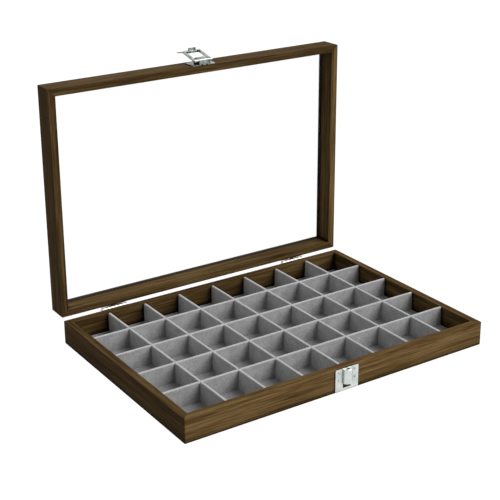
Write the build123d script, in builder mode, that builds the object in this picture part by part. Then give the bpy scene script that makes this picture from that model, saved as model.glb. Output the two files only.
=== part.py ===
from build123d import *
from math import cos, radians, sin, sqrt
import os

os.makedirs("parts", exist_ok=True)

# Glazed display case: a shallow wooden tray with a velvet grid, and a framed clear lid hinged
# at the back and held by a loop latch at the front.
# Millimetres. The tray stands on z = 0, its front faces -Y, and its width runs along X.
# The lid stands open at a right angle.

# Case
case_width = 350.0
case_depth = 240.0
base_height = 25.0
lid_height = 23.5
wall = 8.0
edge_round = 0.5
corner_round = 1.0
closing_gap = 0.4

# Bottom board and its brads
board_thickness = 3.0
board_rebate = 4.0
board_clearance = 0.2
brad_radius = 0.6
brad_head_radius = 1.3
brad_head_height = 0.6
brad_length = 11.0
brads_along_front = 4
brads_along_side = 3
brad_corner_distance = 25.0

# Velvet floor and grid
pad_thickness = 1.5
pad_clearance = 0.2
cells_across = 8
cells_deep = 5
divider_thickness = 3.0
divider_drop = 0.5
divider_edge_round = 1.0
divider_end_clearance = 0.2
slot_clearance = 0.1

# Clear pane
pane_thickness = 2.0
pane_cover = 2.0
groove_depth = 4.0
pane_edge_clearance = 0.5
pane_face_clearance = 0.1

# Hinges
hinge_end_distance = 60.0
hinge_width = 30.0
leaf_thickness = 0.8
leaf_reach = 12.0
leaf_corner_round = 1.5
barrel_radius = 2.0
barrel_clearance = 0.5
barrel_drop = 0.75
root_start = 1.3
root_bend = 1.9
root_reach = 3.4
knuckle_count = 5
knuckle_gap = 0.3
hinge_pin_radius = 1.0
running_clearance = 0.05
pin_head_radius = 1.5
pin_head_height = 0.8
stop_distance = 4.6
stop_thickness = 1.0
stop_width = 8.0
stop_gap = 0.3
hinge_nail_spacing = 10.0
hinge_nail_distance = 8.0

# Nails for hinges and latch
nail_radius = 0.6
nail_length = 6.0
nail_head_radius = 1.2
nail_head_height = 0.4
nail_head_round = 0.25

# Both plates of the latch sit a little to the right of the middle.
latch_centre = 2.5
plate_thickness = 0.8
plate_width = 27.0
plate_corner_round = 1.0

# Strike plate on the front of the tray. Its catch, window and nails are set out from its top.
strike_height = 23.5
strike_top_margin = 0.9
bulge_radius = 5.0
bulge_wall = 0.7
bulge_drop = 0.7
bulge_length = 14.8
bulge_edge_round = 0.5
bulge_hole_length = 4.8
bulge_hole_width = 1.8
bulge_hole_distance = 1.5
window_width = 9.4
window_length = 5.0
strike_nail_spacing = 18.8
strike_nail_drops = (11.9, 3.5)

# Latch plate on the front of the lid
latch_margin = 0.8
latch_height = 16.2
latch_notch_spacing = 5.6
latch_notch_width = 2.2
latch_notch_depth = 1.2
bridge_width = 10.0
bridge_start = 2.4
bridge_length = 10.6
bridge_rise = 5.8
bridge_wall = 0.8
bridge_round = 2.0
latch_knuckle_radius = 1.7
latch_nail_spacing = 21.6
latch_nail_margin = 11.0

# Latch pin and loop
latch_pin_radius = 0.8
latch_pin_head_radius = 1.3
latch_pin_head_height = 0.6
loop_width = 20.5
loop_arm_width = 2.0
loop_thickness = 3.0
loop_edge_round = 0.5
loop_bar_width = 2.0
loop_eye_radius = 1.9
loop_side_gap = 0.3
loop_rest_angle = 13.0
catch_gap = 0.4
hook_side_gap = 0.3
hook_wood_gap = 0.4
heel_gap = 0.3
heel_angle = 60.0
heel_flank_angle = 45.0
lip_length = 6.4
lip_thickness = 0.9
lip_bend = 20.0
lip_end_width = 28.5

# Largest difference between two equal lengths or places
tolerance = 0.01

# Derived positions
half_width = case_width / 2
half_depth = case_depth / 2
lid_bottom = base_height + closing_gap
lid_top = lid_bottom + lid_height
hinge_y = half_depth + barrel_radius + barrel_clearance
hinge_z = base_height - barrel_drop
inner_width = case_width - 2 * wall
inner_depth = case_depth - 2 * wall
knuckle_pitch = hinge_width / knuckle_count
knuckle_length = knuckle_pitch - knuckle_gap
hinge_centre = half_width - hinge_end_distance
hinge_centres = {"left": -hinge_centre, "right": hinge_centre}
notch_edge = barrel_radius + knuckle_gap
leaf_outer_y = half_depth + leaf_thickness
plate_outer_y = half_depth + plate_thickness
strike_top = base_height - strike_top_margin
bulge_top = strike_top - bulge_drop
bulge_bottom = bulge_top - bulge_length
bulge_inner = bulge_radius - bulge_wall
bulge_back = -plate_outer_y + bulge_radius

# The latch's pin is the centre of the bridge's lower outer round.
latch_z = lid_bottom + bridge_start + bridge_round
latch_y = -plate_outer_y - bridge_rise + bridge_round
latch_knuckle_width = loop_width - 2 * loop_arm_width - 2 * loop_side_gap
latch_pin_half = loop_width / 2 + loop_side_gap

# The lid is drawn shut, on planes that are turned about the hinge pins to the open position.
lid_open = Pos(0, hinge_y, hinge_z) * Rot(X=-90) * Pos(0, -hinge_y, -hinge_z)


def on_base(plane):
    return plane


def on_lid(plane):
    return Plane(lid_open * plane.location)


def save(part, name):
    part.label = name
    export_step(part, "parts/" + name + ".step")


# Outlines that cut one mitred rail from a rectangular frame
mitre_over = 2.0
mitre_reach = half_depth
far_x = half_width + mitre_over
far_y = half_depth + mitre_over
rail_outlines = {
    "front": [
        (-far_x, -far_y),
        (far_x, -far_y),
        (half_width - mitre_reach, 0),
        (-half_width + mitre_reach, 0),
    ],
    "back": [
        (-far_x, far_y),
        (-half_width + mitre_reach, 0),
        (half_width - mitre_reach, 0),
        (far_x, far_y),
    ],
    "left": [
        (-far_x, -far_y),
        (-half_width + mitre_reach, 0),
        (-far_x, far_y),
    ],
    "right": [
        (far_x, -far_y),
        (far_x, far_y),
        (half_width - mitre_reach, 0),
    ],
}

# Brad positions, on the middle of the board's covered edge
brad_x = half_width - wall + board_rebate / 2
brad_y = half_depth - wall + board_rebate / 2
front_brad_step = 2 * (brad_x - brad_corner_distance) / (brads_along_front - 1)
side_brad_step = 2 * (brad_y - brad_corner_distance) / (brads_along_side - 1)
brad_spots = []
for side in (-1, 1):
    for number in range(brads_along_front):
        along = -brad_x + brad_corner_distance + number * front_brad_step
        brad_spots.append((along, side * brad_y))
    for number in range(brads_along_side):
        along = -brad_y + brad_corner_distance + number * side_brad_step
        brad_spots.append((side * brad_x, along))

# Nail positions, as (x, z) with the case shut
base_hinge_spots = []
lid_hinge_spots = []
for centre in hinge_centres.values():
    for number in (-1, 0, 1):
        nail_x = centre + number * hinge_nail_spacing
        base_hinge_spots.append((nail_x, hinge_z - hinge_nail_distance))
        lid_hinge_spots.append((nail_x, hinge_z + hinge_nail_distance))
strike_spots = []
for drop in strike_nail_drops:
    for side in (-1, 1):
        strike_spots.append((-latch_centre + side * strike_nail_spacing / 2, strike_top - drop))
latch_nail_z = lid_bottom + latch_nail_margin
latch_spots = [
    (-latch_centre - latch_nail_spacing / 2, latch_nail_z),
    (-latch_centre + latch_nail_spacing / 2, latch_nail_z),
]

# Planes of the nailed faces. Their normals point into the wood, and the front face's x runs to -X.
back_face = Plane(origin=(0, leaf_outer_y, 0), x_dir=(1, 0, 0), z_dir=(0, -1, 0))
front_face = Plane(origin=(0, -plate_outer_y, 0), x_dir=(-1, 0, 0), z_dir=(0, 1, 0))


def rail(place, bottom, height, outline, nail_plane, nail_spots, grooved):
    with BuildPart() as made:
        with BuildSketch(place(Plane.XY.offset(bottom))):
            RectangleRounded(case_width, case_depth, corner_round)
            Rectangle(inner_width, inner_depth, mode=Mode.SUBTRACT)
        extrude(amount=height)
        face_edges = made.edges().filter_by(lambda edge: abs(edge.length - height) > tolerance)
        fillet(face_edges, radius=edge_round)
        if grooved:
            groove_width = inner_width + 2 * groove_depth
            groove_length = inner_depth + 2 * groove_depth
            groove_bottom = bottom + height - pane_cover - pane_thickness
            with BuildSketch(place(Plane.XY.offset(groove_bottom))):
                Rectangle(groove_width, groove_length)
            extrude(amount=pane_thickness + pane_face_clearance, mode=Mode.SUBTRACT)
        else:
            with BuildSketch(place(Plane.XY.offset(bottom))):
                Rectangle(inner_width + 2 * board_rebate, inner_depth + 2 * board_rebate)
            extrude(amount=board_thickness, mode=Mode.SUBTRACT)
            with BuildSketch(place(Plane.XY.offset(bottom))):
                with Locations(*brad_spots):
                    Circle(brad_radius)
            extrude(amount=brad_length, mode=Mode.SUBTRACT)
        with BuildSketch(place(Plane.XY.offset(bottom))):
            Polygon(*outline, align=None)
        extrude(amount=height, mode=Mode.INTERSECT)
        if nail_spots:
            with BuildSketch(place(nail_plane)):
                with Locations(*nail_spots):
                    Circle(nail_radius)
            extrude(amount=nail_length, mode=Mode.SUBTRACT)
    return made.part


# Tray rails
base_nails = {
    "front": (front_face, strike_spots),
    "back": (back_face, base_hinge_spots),
    "left": (back_face, []),
    "right": (back_face, []),
}
for side, outline in rail_outlines.items():
    nail_plane, nail_spots = base_nails[side]
    base_rail = rail(on_base, 0, base_height, outline, nail_plane, nail_spots, False)
    save(base_rail, "base_rail_" + side)

# Lid rails
lid_nails = {
    "front": (front_face, latch_spots),
    "back": (back_face, lid_hinge_spots),
    "left": (back_face, []),
    "right": (back_face, []),
}
for side, outline in rail_outlines.items():
    nail_plane, nail_spots = lid_nails[side]
    lid_rail = rail(on_lid, lid_bottom, lid_height, outline, nail_plane, nail_spots, True)
    save(lid_rail, "lid_rail_" + side)

# Bottom board, held up in the rails' rebate by brads
board_width = inner_width + 2 * board_rebate - 2 * board_clearance
board_depth = inner_depth + 2 * board_rebate - 2 * board_clearance
with BuildPart() as bottom_board:
    with BuildSketch():
        Rectangle(board_width, board_depth)
        with Locations(*brad_spots):
            Circle(brad_radius, mode=Mode.SUBTRACT)
    extrude(amount=board_thickness)
    with BuildSketch():
        with Locations(*brad_spots):
            Circle(brad_head_radius)
    extrude(amount=brad_head_height, mode=Mode.SUBTRACT)
save(bottom_board.part, "bottom_board")

with BuildPart() as bottom_brads:
    with BuildSketch():
        with Locations(*brad_spots):
            Circle(brad_head_radius)
    extrude(amount=brad_head_height)
    with BuildSketch():
        with Locations(*brad_spots):
            Circle(brad_radius)
    extrude(amount=brad_length)
save(bottom_brads.part, "bottom_brads")

# Velvet pad on the board
pad_top = board_thickness + pad_thickness
with BuildPart() as floor_pad:
    with BuildSketch(Plane.XY.offset(board_thickness)):
        Rectangle(inner_width - 2 * pad_clearance, inner_depth - 2 * pad_clearance)
    extrude(amount=pad_thickness)
save(floor_pad.part, "floor_pad")

# Velvet dividers, halved into each other
slot_cut = 2 * divider_thickness
divider_height = base_height - divider_drop - pad_top
slot_width = divider_thickness + 2 * slot_clearance
slot_height = divider_height / 2 + slot_clearance
pitch_across = (inner_width + divider_thickness) / cells_across
pitch_deep = (inner_depth + divider_thickness) / cells_deep
long_places = []
for number in range(1, cells_across):
    long_places.append(-inner_width / 2 - divider_thickness / 2 + number * pitch_across)
cross_places = []
for number in range(1, cells_deep):
    cross_places.append(-inner_depth / 2 - divider_thickness / 2 + number * pitch_deep)

for number, place_x in enumerate(long_places, start=1):
    with BuildPart() as divider:
        with BuildSketch(Plane.XY.offset(pad_top)):
            with Locations((place_x, 0)):
                Rectangle(divider_thickness, inner_depth - 2 * divider_end_clearance)
        extrude(amount=divider_height)
        top_edges = divider.faces().sort_by(Axis.Z)[-1].edges().filter_by(Axis.Y)
        fillet(top_edges, radius=divider_edge_round)
        with BuildSketch(Plane.XY.offset(pad_top + divider_height)):
            for place_y in cross_places:
                with Locations((place_x, place_y)):
                    Rectangle(slot_cut, slot_width)
        extrude(amount=-slot_height, mode=Mode.SUBTRACT)
    save(divider.part, "divider_long_" + str(number))

for number, place_y in enumerate(cross_places, start=1):
    with BuildPart() as divider:
        with BuildSketch(Plane.XY.offset(pad_top)):
            with Locations((0, place_y)):
                Rectangle(inner_width - 2 * divider_end_clearance, divider_thickness)
        extrude(amount=divider_height)
        top_edges = divider.faces().sort_by(Axis.Z)[-1].edges().filter_by(Axis.X)
        fillet(top_edges, radius=divider_edge_round)
        with BuildSketch(Plane.XY.offset(pad_top)):
            for place_x in long_places:
                with Locations((place_x, place_y)):
                    Rectangle(slot_width, slot_cut)
        extrude(amount=slot_height, mode=Mode.SUBTRACT)
    save(divider.part, "divider_cross_" + str(number))

# Clear pane in the lid rails' groove
pane_bottom = lid_top - pane_cover - pane_thickness
pane_overlap = groove_depth - pane_edge_clearance
with BuildPart() as lid_pane:
    with BuildSketch(on_lid(Plane.XY.offset(pane_bottom))):
        Rectangle(inner_width + 2 * pane_overlap, inner_depth + 2 * pane_overlap)
    extrude(amount=pane_thickness)
save(lid_pane.part, "lid_pane")


def hinge_leaf(place, centre, direction, first_knuckle, bore_radius, nail_spots):
    left = centre - hinge_width / 2
    stop_inner = stop_distance - stop_thickness / 2
    stop_outer = stop_distance + stop_thickness / 2
    stop_shift = stop_gap / sqrt(2)
    leaf_middle = (notch_edge + leaf_reach) / 2
    with BuildPart() as leaf:
        with BuildSketch(place(back_face)):
            with Locations((centre, hinge_z + direction * leaf_middle)):
                RectangleRounded(hinge_width, leaf_reach - notch_edge, leaf_corner_round)
        extrude(amount=leaf_thickness)
        # Stop ear
        with BuildSketch(place(Plane.YZ.offset(centre - stop_width / 2))):
            Polygon(
                (half_depth, hinge_z + direction * stop_inner),
                (hinge_y + stop_inner - stop_shift, hinge_z + direction * stop_inner),
                (hinge_y + stop_outer - stop_shift, hinge_z + direction * stop_outer),
                (half_depth, hinge_z + direction * stop_outer),
                align=None,
            )
        extrude(amount=stop_width)
        # Knuckles
        for knuckle in range(first_knuckle, knuckle_count, 2):
            start = left + knuckle * knuckle_pitch + knuckle_gap / 2
            with BuildSketch(place(Plane.YZ.offset(start))):
                with Locations((hinge_y, hinge_z)):
                    Circle(barrel_radius)
                Polygon(
                    (half_depth, hinge_z + direction * root_reach),
                    (half_depth, hinge_z + direction * root_bend),
                    (hinge_y - barrel_radius, hinge_z + direction * root_start),
                    (hinge_y - barrel_radius, hinge_z),
                    (hinge_y - barrel_radius + leaf_thickness, hinge_z),
                    (leaf_outer_y, hinge_z + direction * root_reach),
                    align=None,
                )
                with Locations((hinge_y, hinge_z)):
                    Circle(bore_radius, mode=Mode.SUBTRACT)
            extrude(amount=knuckle_length)
        # Nail holes
        with BuildSketch(place(back_face)):
            with Locations(*nail_spots):
                Circle(nail_radius)
        extrude(amount=leaf_thickness, mode=Mode.SUBTRACT)
    return leaf.part


def nails(plane, spots):
    with BuildPart() as made:
        with BuildSketch(plane):
            with Locations(*spots):
                Circle(nail_head_radius)
        extrude(amount=-nail_head_height)
        rims = made.edges().filter_by(GeomType.CIRCLE).filter_by(
            lambda edge: abs(plane.to_local_coords(edge.center()).Z) > nail_head_height / 2
        )
        fillet(rims, radius=nail_head_round)
        with BuildSketch(plane):
            with Locations(*spots):
                Circle(nail_radius)
        extrude(amount=nail_length)
    return made.part


# Hinges
for name, centre in hinge_centres.items():
    base_spots = [spot for spot in base_hinge_spots if abs(spot[0] - centre) < hinge_width / 2]
    lid_spots = [spot for spot in lid_hinge_spots if abs(spot[0] - centre) < hinge_width / 2]
    base_leaf = hinge_leaf(on_base, centre, -1, 0, hinge_pin_radius, base_spots)
    save(base_leaf, "hinge_" + name + "_base_leaf")
    lid_bore = hinge_pin_radius + running_clearance
    lid_leaf = hinge_leaf(on_lid, centre, 1, 1, lid_bore, lid_spots)
    save(lid_leaf, "hinge_" + name + "_lid_leaf")
    pin_start = centre - hinge_width / 2 + knuckle_gap / 2
    pin_length = hinge_width - knuckle_gap
    with BuildPart() as hinge_pin:
        with BuildSketch(Plane.YZ.offset(pin_start)):
            with Locations((hinge_y, hinge_z)):
                Circle(hinge_pin_radius)
        extrude(amount=pin_length)
        with BuildSketch(Plane.YZ.offset(pin_start)):
            with Locations((hinge_y, hinge_z)):
                Circle(pin_head_radius)
        extrude(amount=-pin_head_height)
        with BuildSketch(Plane.YZ.offset(pin_start + pin_length)):
            with Locations((hinge_y, hinge_z)):
                Circle(pin_head_radius)
        extrude(amount=pin_head_height)
        head_rims = hinge_pin.faces().filter_by(Axis.X).sort_by(Axis.X)
        fillet(head_rims[0].edges() + head_rims[-1].edges(), radius=pin_head_height / 2)
    save(hinge_pin.part, "hinge_" + name + "_pin")

save(nails(back_face, base_hinge_spots), "base_hinge_nails")
save(nails(on_lid(back_face), lid_hinge_spots), "lid_hinge_nails")
save(nails(front_face, strike_spots), "strike_nails")
save(nails(on_lid(front_face), latch_spots), "latch_nails")

# Strike plate with its pressed half-round catch, open below and with a hole on top
strike_middle = strike_top - strike_height / 2
window_middle = bulge_bottom - window_length / 2
hollow_top = bulge_top - bulge_wall
with BuildPart() as strike_plate:
    with BuildSketch(front_face):
        with Locations((-latch_centre, strike_middle)):
            RectangleRounded(plate_width, strike_height, plate_corner_round)
        with Locations((-latch_centre, window_middle)):
            Rectangle(window_width, window_length, mode=Mode.SUBTRACT)
        with Locations((-latch_centre, (hollow_top + bulge_bottom) / 2)):
            Rectangle(2 * bulge_inner, hollow_top - bulge_bottom, mode=Mode.SUBTRACT)
    extrude(amount=plate_thickness)
    with BuildSketch(Plane.XY.offset(bulge_bottom)):
        with Locations((latch_centre, -plate_outer_y)):
            Circle(bulge_radius)
            Circle(bulge_inner, mode=Mode.SUBTRACT)
        with Locations((latch_centre, bulge_back)):
            Rectangle(plate_width, 2 * bulge_radius, mode=Mode.SUBTRACT)
    extrude(amount=bulge_length)
    with BuildSketch(Plane.XY.offset(hollow_top)):
        with Locations((latch_centre, -plate_outer_y)):
            Circle(bulge_radius)
        with Locations((latch_centre, bulge_back)):
            Rectangle(plate_width, 2 * bulge_radius, mode=Mode.SUBTRACT)
        with Locations((latch_centre, -plate_outer_y - bulge_hole_distance)):
            Ellipse(bulge_hole_length / 2, bulge_hole_width / 2, mode=Mode.SUBTRACT)
    extrude(amount=bulge_wall)
    top_rim = strike_plate.edges().filter_by(GeomType.CIRCLE).filter_by(
        lambda edge: abs(edge.center().Z - bulge_top) < tolerance
        and abs(edge.radius - bulge_radius) < tolerance
    )
    fillet(top_rim, radius=bulge_edge_round)
    with BuildSketch(front_face):
        with Locations(*strike_spots):
            Circle(nail_radius)
    extrude(amount=plate_thickness, mode=Mode.SUBTRACT)
save(strike_plate.part, "strike_plate")

# Latch plate with a raised bridge, open at both ends, and the pin's knuckle in its lower round
latch_bottom = lid_bottom + latch_margin
bridge_bottom = lid_bottom + bridge_start
bridge_outer_y = -plate_outer_y - bridge_rise
bridge_left = latch_centre - bridge_width / 2
knuckle_left = latch_centre - latch_knuckle_width / 2
with BuildPart() as latch_plate:
    with BuildSketch(on_lid(front_face)):
        with Locations((-latch_centre, latch_bottom + latch_height / 2)):
            RectangleRounded(plate_width, latch_height, plate_corner_round)
        for side in (-1, 1):
            notch_x = -latch_centre + side * latch_notch_spacing / 2
            with Locations((notch_x, latch_bottom + latch_notch_depth / 2)):
                Rectangle(latch_notch_width, latch_notch_depth, mode=Mode.SUBTRACT)
        with Locations((-latch_centre, bridge_bottom + bridge_length / 2)):
            Rectangle(bridge_width, bridge_length - 2 * bridge_wall, mode=Mode.SUBTRACT)
    extrude(amount=plate_thickness)
    with BuildSketch(on_lid(Plane.YZ.offset(bridge_left))):
        with BuildLine():
            outer = FilletPolyline(
                (-half_depth, bridge_bottom),
                (bridge_outer_y, bridge_bottom),
                (bridge_outer_y, bridge_bottom + bridge_length),
                (-half_depth, bridge_bottom + bridge_length),
                radius=bridge_round,
            )
            Line(outer @ 1, outer @ 0)
        make_face()
        with BuildLine():
            inner = FilletPolyline(
                (-half_depth, bridge_bottom + bridge_wall),
                (bridge_outer_y + bridge_wall, bridge_bottom + bridge_wall),
                (bridge_outer_y + bridge_wall, bridge_bottom + bridge_length - bridge_wall),
                (-half_depth, bridge_bottom + bridge_length - bridge_wall),
                radius=bridge_round - bridge_wall,
            )
            Line(inner @ 1, inner @ 0)
        make_face(mode=Mode.SUBTRACT)
    extrude(amount=bridge_width)
    with BuildSketch(on_lid(Plane.YZ.offset(knuckle_left))):
        with Locations((latch_y, latch_z)):
            Circle(latch_knuckle_radius)
    extrude(amount=latch_knuckle_width)
    with BuildSketch(on_lid(Plane.YZ.offset(knuckle_left))):
        with Locations((latch_y, latch_z)):
            Circle(latch_pin_radius)
    extrude(amount=latch_knuckle_width, mode=Mode.SUBTRACT)
    with BuildSketch(on_lid(front_face)):
        with Locations(*latch_spots):
            Circle(nail_radius)
    extrude(amount=plate_thickness, mode=Mode.SUBTRACT)
save(latch_plate.part, "latch_plate")

# Latch pin, with a head beyond each eye of the loop
with BuildPart() as latch_pin:
    with BuildSketch(on_lid(Plane.YZ.offset(latch_centre - latch_pin_half))):
        with Locations((latch_y, latch_z)):
            Circle(latch_pin_radius)
    extrude(amount=2 * latch_pin_half)
    for side in (-1, 1):
        with BuildSketch(on_lid(Plane.YZ.offset(latch_centre + side * latch_pin_half))):
            with Locations((latch_y, latch_z)):
                Circle(latch_pin_head_radius)
        extrude(amount=side * latch_pin_head_height)
save(latch_pin.part, "latch_pin")

# Latch loop, a ring with two eyes on the pin. Its far bar has a hook that enters the strike
# plate's window below the catch, and a finger lip. It is drawn in its rest position, folded back.
loop_length = latch_z - bulge_bottom + catch_gap + loop_bar_width / 2
outer_end = loop_length + loop_bar_width / 2
inner_end = loop_length - loop_bar_width / 2
hook_width = window_width - 2 * hook_side_gap
hook_reach = -half_depth - latch_y - hook_wood_gap
heel_radius = (-plate_outer_y - latch_y - heel_gap) / sin(radians(heel_angle))
loop_rise = radians(loop_rest_angle)
lip_rise = radians(loop_rest_angle - lip_bend)
loop_half = loop_width / 2
loop_face = Plane(
    origin=(latch_centre, latch_y, latch_z),
    x_dir=(1, 0, 0),
    z_dir=(0, cos(loop_rise), sin(loop_rise)),
)
lip_face = Plane(
    origin=(
        latch_centre,
        latch_y - loop_length * sin(loop_rise),
        latch_z + loop_length * cos(loop_rise),
    ),
    x_dir=(1, 0, 0),
    z_dir=(0, cos(lip_rise), sin(lip_rise)),
)


def around_pin(radius, angle):
    turn = radians(angle)
    return (latch_y + radius * sin(turn), latch_z + radius * cos(turn))


with BuildPart() as latch_loop:
    with BuildSketch(on_lid(loop_face.offset(-loop_thickness / 2))):
        with Locations((0, -outer_end / 2)):
            Rectangle(loop_width, outer_end)
        with Locations((0, -inner_end / 2)):
            Rectangle(loop_width - 2 * loop_arm_width, inner_end, mode=Mode.SUBTRACT)
    extrude(amount=loop_thickness)
    ring_edges = latch_loop.edges().filter_by(
        lambda edge: abs(edge.length - loop_thickness) > tolerance
        and abs(edge.length - loop_arm_width) > tolerance
    )
    fillet(ring_edges, radius=loop_edge_round)
    # Finger lip, widening to its pointed ends
    with BuildSketch(on_lid(lip_face.offset(-lip_thickness / 2))):
        Polygon(
            (-loop_half + loop_edge_round, 0),
            (-lip_end_width / 2, -lip_length),
            (lip_end_width / 2, -lip_length),
            (loop_half - loop_edge_round, 0),
            align=None,
        )
    extrude(amount=lip_thickness)
    # Hook on the side of the wood
    with BuildSketch(on_lid(loop_face)):
        with Locations((0, -loop_length)):
            Rectangle(hook_width, loop_bar_width - 2 * loop_edge_round)
    extrude(amount=-hook_reach)
    # Eyes, each with a heel that rests against the latch plate
    for start in (latch_centre - loop_half, latch_centre + loop_half - loop_arm_width):
        with BuildSketch(on_lid(Plane.YZ.offset(start))):
            with Locations((latch_y, latch_z)):
                Circle(loop_eye_radius)
            Polygon(
                (latch_y, latch_z),
                around_pin(loop_eye_radius, heel_angle - heel_flank_angle),
                around_pin(heel_radius, heel_angle),
                around_pin(loop_eye_radius, heel_angle + heel_flank_angle),
                align=None,
            )
        extrude(amount=loop_arm_width)
    with BuildSketch(on_lid(Plane.YZ.offset(latch_centre - loop_half))):
        with Locations((latch_y, latch_z)):
            Circle(latch_pin_radius + running_clearance)
    extrude(amount=loop_width, mode=Mode.SUBTRACT)
save(latch_loop.part, "latch_loop")
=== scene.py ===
import math
import bpy
from mathutils import Euler, Matrix, Vector

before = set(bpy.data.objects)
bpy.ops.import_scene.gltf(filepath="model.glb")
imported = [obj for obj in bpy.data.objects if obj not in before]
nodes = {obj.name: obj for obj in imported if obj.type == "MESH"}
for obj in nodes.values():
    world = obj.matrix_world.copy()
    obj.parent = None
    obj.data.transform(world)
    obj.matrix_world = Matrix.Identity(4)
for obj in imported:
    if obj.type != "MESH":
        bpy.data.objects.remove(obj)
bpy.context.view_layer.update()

# Colours, as linear red, green and blue
WOOD_DARK = (0.033, 0.018, 0.0055)
WOOD_MID = (0.128, 0.076, 0.0276)
WOOD_LIGHT = (0.248, 0.160, 0.069)
PORE_SHADE = (0.50, 0.46, 0.42)
# The darkest painted shade in corners
PAINTED_CORNER_SHADE = (0.05, 0.05, 0.05)
BOARD_DARK = (0.17, 0.12, 0.065)
BOARD_MID = (0.27, 0.20, 0.12)
BOARD_LIGHT = (0.34, 0.26, 0.17)
VELVET_DARK = (0.23, 0.23, 0.23)
VELVET_LIGHT = (0.41, 0.41, 0.41)
# Painted highlight along the velvet's top edges
VELVET_EDGE_HIGHLIGHT = (0.462, 0.462, 0.465)
VELVET_SHEEN = (0.95, 0.95, 1.0)
STRIKE_NICKEL = (0.66, 0.71, 0.675)
# The latch's nickel, darker than the strike plate's, as painted dark reflection
LATCH_NICKEL_DARK_REFLECTION = (0.38, 0.41, 0.39)
HINGE_NICKEL = (0.60, 0.58, 0.52)
NAIL_STEEL = (0.52, 0.53, 0.52)
PANE_TINT = (0.93, 0.96, 0.96)
FLOOR_GREY = (0.36, 0.36, 0.36)
WHITE = (1.0, 1.0, 1.0)

# A share, an opacity or a strength that is left whole
WHOLE = 1.0

# The range in which most of a noise's values lie, and where a ramp's added stop starts
NOISE_LOW = 0.3
NOISE_HIGH = 0.7
NEW_STOP = 0.5

# Wood grain: features per metre across and along the grain, and how each layer is worked
STREAKS = {"across": 430.0, "along": 14.0, "detail": 6.0, "roughness": 0.65, "distortion": 0.5}
BANDS = {"across": 75.0, "along": 3.5, "detail": 3.0, "roughness": 0.5, "distortion": 1.2}
PORES = {"across": 1700.0, "along": 55.0, "detail": 2.0, "roughness": 0.6, "distortion": 0.0}
BAND_SHARE = 0.30
BAND_SHIFT = 2.0
STAIN_STOPS = (0.34, 0.50, 0.66)
PORE_STOPS = (0.36, 0.47)
PORE_DEPTH = 0.55
PORE_RELIEF = 0.25
PORE_HEIGHT = 0.00025
WOOD_ROUGHNESS = 0.55
WOOD_SPECULAR = 0.008
BOARD_ROUGHNESS = 0.62
BOARD_PLACE = 2.2

# Velvet: features per metre of the pile and of its crushed patches
PILE = {"scale": 1100.0, "detail": 3.0, "roughness": 0.7}
CRUSH = {"scale": 110.0, "detail": 4.0, "roughness": 0.6}
CRUSH_SHARE = 0.30
PILE_TONE_STOPS = (0.38, 0.62)
PILE_RELIEF = 0.5
PILE_HEIGHT = 0.0004
VELVET_ROUGHNESS = 0.95
VELVET_SPECULAR = 0.1
SHEEN_WEIGHT = 0.9
SHEEN_ROUGHNESS = 0.4

# Painted light on velvet faces that point to -X: how much lighter they are, and the sideways normals
# between which it comes in
PAINTED_LIGHT_LIFT = 1.50
PAINTED_LIGHT_NORMAL_START = 0.0
PAINTED_LIGHT_NORMAL_FULL = -1.0

# The heights between which the painted highlight along a divider's top edge begins
HIGHLIGHT_START = 0.0236
HIGHLIGHT_FULL = 0.0246

# Metal: features per metre of the smears, and the share of its colour that a smear keeps; the darker
# patches are partly wear and partly painted dark reflection
SMEARS = {"scale": 130.0, "detail": 4.0, "roughness": 0.6}
SMEAR_AND_REFLECTION_STOPS = (0.35, 0.6)
SMEAR_RELIEF = 0.08
SMEAR_HEIGHT = 0.0002
NICKEL_ROUGHNESS = 0.25
HINGE_ROUGHNESS = 0.32
NAIL_ROUGHNESS = 0.35
STRIKE_WEAR_AND_REFLECTION = 0.80
LATCH_WEAR_AND_REFLECTION = 0.40
HINGE_WEAR_AND_REFLECTION = 0.75
NAIL_WEAR_AND_REFLECTION = 0.70

# Wood and metal: how far the roughness strays, and how far from a corner the painted shade in the
# colour reaches
ROUGHNESS_SPREAD = 0.07
METAL_CORNER_REACH = 0.003
WOOD_CORNER_REACH = 0.006
CORNER_SAMPLES = 8
PAINTED_SHADE_STOPS = (0.58, 0.92)

# Pane: how opaque and how rough it is
PANE_ALPHA = 0.04
PANE_ROUGHNESS = 0.05

# Light: the even surroundings, and where the key and the fill come from, with spreads in degrees
AMBIENT = 0.25
KEY_FROM = (1.42, -1.52, 1.55)
KEY_SPREAD = 50.0
KEY_STRENGTH = 3.15
FILL_FROM = (-0.10, 1.40, 1.15)
FILL_SPREAD = 50.0
FILL_STRENGTH = 0.9

# Floor: its side, its place under the case, and how much of it is seen as plain white
FLOOR_SIZE = 6.0
FLOOR_DROP = 0.0002
FLOOR_WHITE = 1.20
SEEN_WHITE = 0.84

# Camera: its place in metres, its turns in degrees, its sensor and lens in millimetres
CAMERA_PLACE = (-0.628925, -0.90164, 0.541745)
CAMERA_AZIMUTH = -32.135
CAMERA_ELEVATION = 20.038
CAMERA_ROLL = -0.840
CAMERA_SENSOR = 36.0
CAMERA_LENS = 85.6355
CAMERA_SHIFT = (0.0649, -0.07068)
CAMERA_NEAR = 0.05
CAMERA_FAR = 20.0
RIGHT_ANGLE = 90.0

# Each rail: its grain's axis, its share of the stain's full lightness, and its place in the grain. The
# shares are partly tone that differs from piece to piece and partly painted shade, lower on rails that
# face away from the key light.
RAILS = {
    "base_rail_front": ("X", 1.00, 1.3),
    "base_rail_back": ("X", 0.62, 2.9),
    "base_rail_left": ("Y", 0.58, 4.1),
    "base_rail_right": ("Y", 0.74, 5.2),
    "lid_rail_front": ("X", 0.60, 6.2),
    "lid_rail_back": ("X", 0.68, 8.4),
    "lid_rail_left": ("Z", 0.56, 7.7),
    "lid_rail_right": ("Z", 0.82, 9.3),
}


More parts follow.
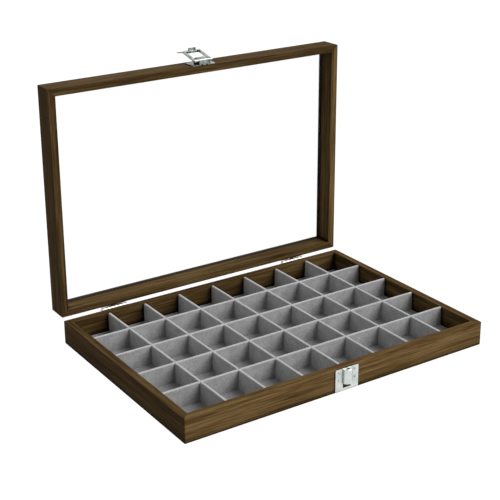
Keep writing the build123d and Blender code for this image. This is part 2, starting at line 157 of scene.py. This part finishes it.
def new_material(name):
    material = bpy.data.materials.new(name)
    material.use_nodes = True
    tree = material.node_tree
    tree.nodes.clear()
    out = tree.nodes.new("ShaderNodeOutputMaterial")
    return material, tree, out


def add(tree, kind, values=None, **settings):
    """A node with the given settings and socket values."""
    node = tree.nodes.new(kind)
    for key, value in settings.items():
        setattr(node, key, value)
    for key, value in (values or {}).items():
        node.inputs[key].default_value = value
    return node


def opaque(colour):
    return (*colour, WHOLE)


def shaded(colour, share):
    return tuple(part * share for part in colour)


def ramp(tree, source, places, colours):
    """The given colours at the given places of a source value."""
    node = tree.nodes.new("ShaderNodeValToRGB")
    band = node.color_ramp
    while len(band.elements) < len(places):
        band.elements.new(NEW_STOP)
    for element, place, colour in zip(band.elements, places, colours):
        element.position = place
        element.color = opaque(colour)
    tree.links.new(source, node.inputs["Fac"])
    return node.outputs["Color"]


def stretched_noise(tree, axis, shift, across, along, detail, roughness, distortion):
    """Noise in the piece's own coordinates, drawn out along one axis."""
    scale = [across, across, across]
    scale["XYZ".index(axis)] = along
    coords = add(tree, "ShaderNodeTexCoord")
    mapping = add(tree, "ShaderNodeMapping", {"Scale": scale, "Location": (shift, shift, shift)})
    tree.links.new(coords.outputs["Object"], mapping.inputs["Vector"])
    noise = add(tree, "ShaderNodeTexNoise", {
        "Scale": WHOLE,
        "Detail": detail,
        "Roughness": roughness,
        "Distortion": distortion,
    })
    tree.links.new(mapping.outputs["Vector"], noise.inputs["Vector"])
    return noise.outputs["Fac"]


def even_noise(tree, scale, detail, roughness):
    """Noise in the piece's own coordinates, the same along every axis."""
    coords = add(tree, "ShaderNodeTexCoord")
    noise = add(tree, "ShaderNodeTexNoise", {"Scale": scale, "Detail": detail, "Roughness": roughness})
    tree.links.new(coords.outputs["Object"], noise.inputs["Vector"])
    return noise.outputs["Fac"]


def blend(tree, first, second, share):
    mix = add(tree, "ShaderNodeMix", data_type="FLOAT")
    mix.inputs["Factor"].default_value = share
    tree.links.new(first, mix.inputs["A"])
    tree.links.new(second, mix.inputs["B"])
    return mix.outputs["Result"]


def part_of(tree, kind, axis, start, end):
    """How far one of the piece's own coordinates, or of its normals, has come from start to end."""
    coords = add(tree, "ShaderNodeTexCoord")
    split = add(tree, "ShaderNodeSeparateXYZ")
    tree.links.new(coords.outputs[kind], split.inputs["Vector"])
    share = add(tree, "ShaderNodeMapRange", {"From Min": start, "From Max": end})
    tree.links.new(split.outputs[axis], share.inputs["Value"])
    return share.outputs["Result"]


def mixed_colour(tree, share, first, second, blend_type="MIX"):
    """A mix of two colours. The share and each colour is a value or a socket."""
    mix = add(tree, "ShaderNodeMix", data_type="RGBA", blend_type=blend_type)
    for socket, source in (("Factor", share), ("A", first), ("B", second)):
        if isinstance(source, bpy.types.NodeSocket):
            tree.links.new(source, mix.inputs[socket])
        elif isinstance(source, tuple):
            mix.inputs[socket].default_value = opaque(source)
        else:
            mix.inputs[socket].default_value = source
    return mix.outputs["Result"]


def spread(tree, source, middle):
    """A roughness that strays to both sides of its middle over the noise's main range."""
    node = add(tree, "ShaderNodeMapRange", {
        "From Min": NOISE_LOW,
        "From Max": NOISE_HIGH,
        "To Min": middle - ROUGHNESS_SPREAD,
        "To Max": middle + ROUGHNESS_SPREAD,
    })
    tree.links.new(source, node.inputs["Value"])
    return node.outputs["Result"]


def relief(tree, source, strength, distance):
    node = add(tree, "ShaderNodeBump", {"Strength": strength, "Distance": distance})
    tree.links.new(source, node.inputs["Height"])
    return node.outputs["Normal"]


def corner_shade(tree, reach):
    """Painted shade where other surfaces lie within reach."""
    return add(tree, "ShaderNodeAmbientOcclusion", {"Distance": reach}, samples=CORNER_SAMPLES)


def finish_material(tree, out, shader, colour=None, roughness=None, normal=None):
    if colour is not None:
        tree.links.new(colour, shader.inputs["Base Color"])
    if roughness is not None:
        tree.links.new(roughness, shader.inputs["Roughness"])
    if normal is not None:
        tree.links.new(normal, shader.inputs["Normal"])
    tree.links.new(shader.outputs["BSDF"], out.inputs["Surface"])


def wood(name, axis, tones, shift, roughness):
    """Wood with its grain along one axis of the piece, and painted shade in its corners."""
    material, tree, out = new_material(name)
    streaks = stretched_noise(tree, axis, shift, **STREAKS)
    bands = stretched_noise(tree, axis, BAND_SHIFT * shift, **BANDS)
    figure = blend(tree, streaks, bands, BAND_SHARE)
    stain = ramp(tree, figure, STAIN_STOPS, tones)
    pores = stretched_noise(tree, axis, shift, **PORES)
    pore_shade = ramp(tree, pores, PORE_STOPS, (PORE_SHADE, WHITE))
    grain = mixed_colour(tree, PORE_DEPTH, stain, pore_shade, "MULTIPLY")
    # Painted shade: the colour darkens where other surfaces lie close.
    corner = corner_shade(tree, WOOD_CORNER_REACH)
    painted_shade = ramp(tree, corner.outputs["AO"], PAINTED_SHADE_STOPS, (PAINTED_CORNER_SHADE, WHITE))
    shader = add(tree, "ShaderNodeBsdfPrincipled", {"Specular IOR Level": WOOD_SPECULAR})
    finish_material(
        tree, out, shader,
        colour=mixed_colour(tree, WHOLE, grain, painted_shade, "MULTIPLY"),
        roughness=spread(tree, streaks, roughness),
        normal=relief(tree, pores, PORE_RELIEF, PORE_HEIGHT),
    )
    return material


def walnut(name, axis, share, shift):
    """The case's stained wood, at a share of its full lightness that is partly its own tone and partly
    painted shade.
    """
    tones = [shaded(tone, share) for tone in (WOOD_DARK, WOOD_MID, WOOD_LIGHT)]
    return wood(name, axis, tones, shift, WOOD_ROUGHNESS)


def bare_board(name):
    """Unstained wood of the bottom board."""
    return wood(name, "X", (BOARD_DARK, BOARD_MID, BOARD_LIGHT), BOARD_PLACE, BOARD_ROUGHNESS)


def velvet(name):
    """Short grey pile, lighter and darker where it is brushed, with painted light on faces that point
    to -X and a painted highlight along the top edges.
    """
    material, tree, out = new_material(name)
    pile = even_noise(tree, **PILE)
    crush = even_noise(tree, **CRUSH)
    brushed = blend(tree, pile, crush, CRUSH_SHARE)
    tones = (VELVET_DARK, VELVET_LIGHT)
    unlit_tones = ramp(tree, brushed, PILE_TONE_STOPS, tones)
    # Painted light: a lighter copy of the pile's tones for faces that point to -X.
    painted_lit_tones = ramp(tree, brushed, PILE_TONE_STOPS, [shaded(tone, PAINTED_LIGHT_LIFT) for tone in tones])
    painted_light_mask = part_of(tree, "Normal", "X", PAINTED_LIGHT_NORMAL_START, PAINTED_LIGHT_NORMAL_FULL)
    tone_with_painted_light = mixed_colour(tree, painted_light_mask, unlit_tones, painted_lit_tones)
    # Painted highlight: a pale colour along the dividers' top edges.
    edge_highlight_mask = part_of(tree, "Object", "Z", HIGHLIGHT_START, HIGHLIGHT_FULL)
    shader = add(tree, "ShaderNodeBsdfPrincipled", {
        "Roughness": VELVET_ROUGHNESS,
        "Specular IOR Level": VELVET_SPECULAR,
        "Sheen Weight": SHEEN_WEIGHT,
        "Sheen Roughness": SHEEN_ROUGHNESS,
        "Sheen Tint": opaque(VELVET_SHEEN),
    })
    finish_material(
        tree, out, shader,
        colour=mixed_colour(tree, edge_highlight_mask, tone_with_painted_light, VELVET_EDGE_HIGHLIGHT),
        normal=relief(tree, pile, PILE_RELIEF, PILE_HEIGHT),
    )
    return material


def metal(name, colour, roughness, wear_and_reflection):
    """Bare metal with faint smears, its darker patches partly wear and partly painted dark reflection,
    and painted shade in its corners.
    """
    material, tree, out = new_material(name)
    smear = even_noise(tree, **SMEARS)
    # Painted shade: the metal's colour darkens in its corners.
    corner = corner_shade(tree, METAL_CORNER_REACH)
    # Painted reflection: darker patches stand in for dark surroundings seen in the metal, and partly
    # for wear.
    tone = ramp(tree, smear, SMEAR_AND_REFLECTION_STOPS, (shaded(colour, wear_and_reflection), colour))
    tree.links.new(tone, corner.inputs["Color"])
    shader = add(tree, "ShaderNodeBsdfPrincipled", {"Metallic": WHOLE})
    finish_material(
        tree, out, shader,
        colour=corner.outputs["Color"],
        roughness=spread(tree, smear, roughness),
        normal=relief(tree, smear, SMEAR_RELIEF, SMEAR_HEIGHT),
    )
    return material


def clear_pane(name):
    material, tree, out = new_material(name)
    shader = add(tree, "ShaderNodeBsdfPrincipled", {
        "Base Color": opaque(PANE_TINT),
        "Roughness": PANE_ROUGHNESS,
        "Alpha": PANE_ALPHA,
    })
    finish_material(tree, out, shader)
    return material


board = bare_board("bare_board")
cloth = velvet("grey_velvet")
strike_nickel = metal("strike_nickel", STRIKE_NICKEL, NICKEL_ROUGHNESS, STRIKE_WEAR_AND_REFLECTION)
latch_nickel = metal("latch_nickel", LATCH_NICKEL_DARK_REFLECTION, NICKEL_ROUGHNESS, LATCH_WEAR_AND_REFLECTION)
hinge_nickel = metal("hinge_nickel", HINGE_NICKEL, HINGE_ROUGHNESS, HINGE_WEAR_AND_REFLECTION)
nail_steel = metal("bright_steel", NAIL_STEEL, NAIL_ROUGHNESS, NAIL_WEAR_AND_REFLECTION)
pane = clear_pane("clear_sheet")
rails = {rail: walnut("walnut_" + rail, *look) for rail, look in RAILS.items()}


def material_of(name):
    if name in rails:
        return rails[name]
    if name == "bottom_board":
        return board
    if name == "floor_pad" or name.startswith("divider"):
        return cloth
    if name == "lid_pane":
        return pane
    if name == "strike_plate":
        return strike_nickel
    if name in ("latch_plate", "latch_pin", "latch_loop"):
        return latch_nickel
    if name.endswith("leaf") or name.endswith("pin"):
        return hinge_nickel
    return nail_steel


for name, node in nodes.items():
    node.data.materials.clear()
    node.data.materials.append(material_of(name))


def seen_ray(tree):
    """1 for camera, mirror and see-through rays, and 0 for the rays that light the case."""
    path = add(tree, "ShaderNodeLightPath")
    seen = path.outputs["Is Camera Ray"]
    for ray in ("Is Glossy Ray", "Is Transmission Ray"):
        either = add(tree, "ShaderNodeMath", operation="MAXIMUM")
        tree.links.new(seen, either.inputs[0])
        tree.links.new(path.outputs[ray], either.inputs[1])
        seen = either.outputs["Value"]
    return seen


def mix_shaders(tree, out, share, first, second):
    """The first shader where the share is 0, and the second where it is 1."""
    mix = add(tree, "ShaderNodeMixShader")
    tree.links.new(share, mix.inputs[0])
    tree.links.new(first.outputs[0], mix.inputs[1])
    tree.links.new(second.outputs[0], mix.inputs[2])
    tree.links.new(mix.outputs[0], out.inputs["Surface"])


def make_floor():
    """A plain floor, seen almost white, that keeps the case's shadow."""
    bpy.ops.mesh.primitive_plane_add(size=FLOOR_SIZE, location=(0.0, 0.0, -FLOOR_DROP))
    floor = bpy.context.object
    floor.name = "floor"
    material, tree, out = new_material("floor")
    lit = add(tree, "ShaderNodeBsdfDiffuse", {"Color": opaque(FLOOR_GREY)})
    white = add(tree, "ShaderNodeEmission", {"Color": opaque(WHITE), "Strength": FLOOR_WHITE})
    share = add(tree, "ShaderNodeMath", operation="MULTIPLY")
    share.inputs[1].default_value = SEEN_WHITE
    tree.links.new(seen_ray(tree), share.inputs[0])
    mix_shaders(tree, out, share.outputs["Value"], lit, white)
    floor.data.materials.append(material)


def make_world():
    """A soft even light from all around, seen as plain white."""
    world = bpy.data.worlds.new("world")
    bpy.context.scene.world = world
    world.use_nodes = True
    tree = world.node_tree
    tree.nodes.clear()
    out = add(tree, "ShaderNodeOutputWorld")
    ambient = add(tree, "ShaderNodeBackground", {"Color": opaque(WHITE), "Strength": AMBIENT})
    backdrop = add(tree, "ShaderNodeBackground", {"Color": opaque(WHITE), "Strength": WHOLE})
    mix_shaders(tree, out, seen_ray(tree), ambient, backdrop)


def make_light(name, source, spread_angle, strength):
    """A soft, even light from the given direction."""
    data = bpy.data.lights.new(name, "SUN")
    data.angle = math.radians(spread_angle)
    data.energy = strength
    lamp = bpy.data.objects.new(name, data)
    bpy.context.scene.collection.objects.link(lamp)
    lamp.location = source
    lamp.rotation_mode = "QUATERNION"
    lamp.rotation_quaternion = (-Vector(source)).to_track_quat("-Z", "Y")


def make_camera():
    """The camera at the photograph's view."""
    data = bpy.data.cameras.new("camera")
    data.sensor_width = CAMERA_SENSOR
    data.lens = CAMERA_LENS
    data.shift_x, data.shift_y = CAMERA_SHIFT
    data.clip_start = CAMERA_NEAR
    data.clip_end = CAMERA_FAR
    camera = bpy.data.objects.new("camera", data)
    bpy.context.scene.collection.objects.link(camera)
    azimuth = math.radians(CAMERA_AZIMUTH)
    tilt = math.radians(RIGHT_ANGLE - CAMERA_ELEVATION)
    roll = math.radians(CAMERA_ROLL)
    turn = Euler((tilt, 0.0, azimuth)).to_matrix() @ Matrix.Rotation(roll, 3, "Z")
    camera.matrix_world = Matrix.Translation(CAMERA_PLACE) @ turn.to_4x4()
    bpy.context.scene.camera = camera


make_floor()
make_world()
make_light("key", KEY_FROM, KEY_SPREAD, KEY_STRENGTH)
make_light("fill", FILL_FROM, FILL_SPREAD, FILL_STRENGTH)
make_camera()
bpy.context.scene.view_settings.view_transform = "Standard"
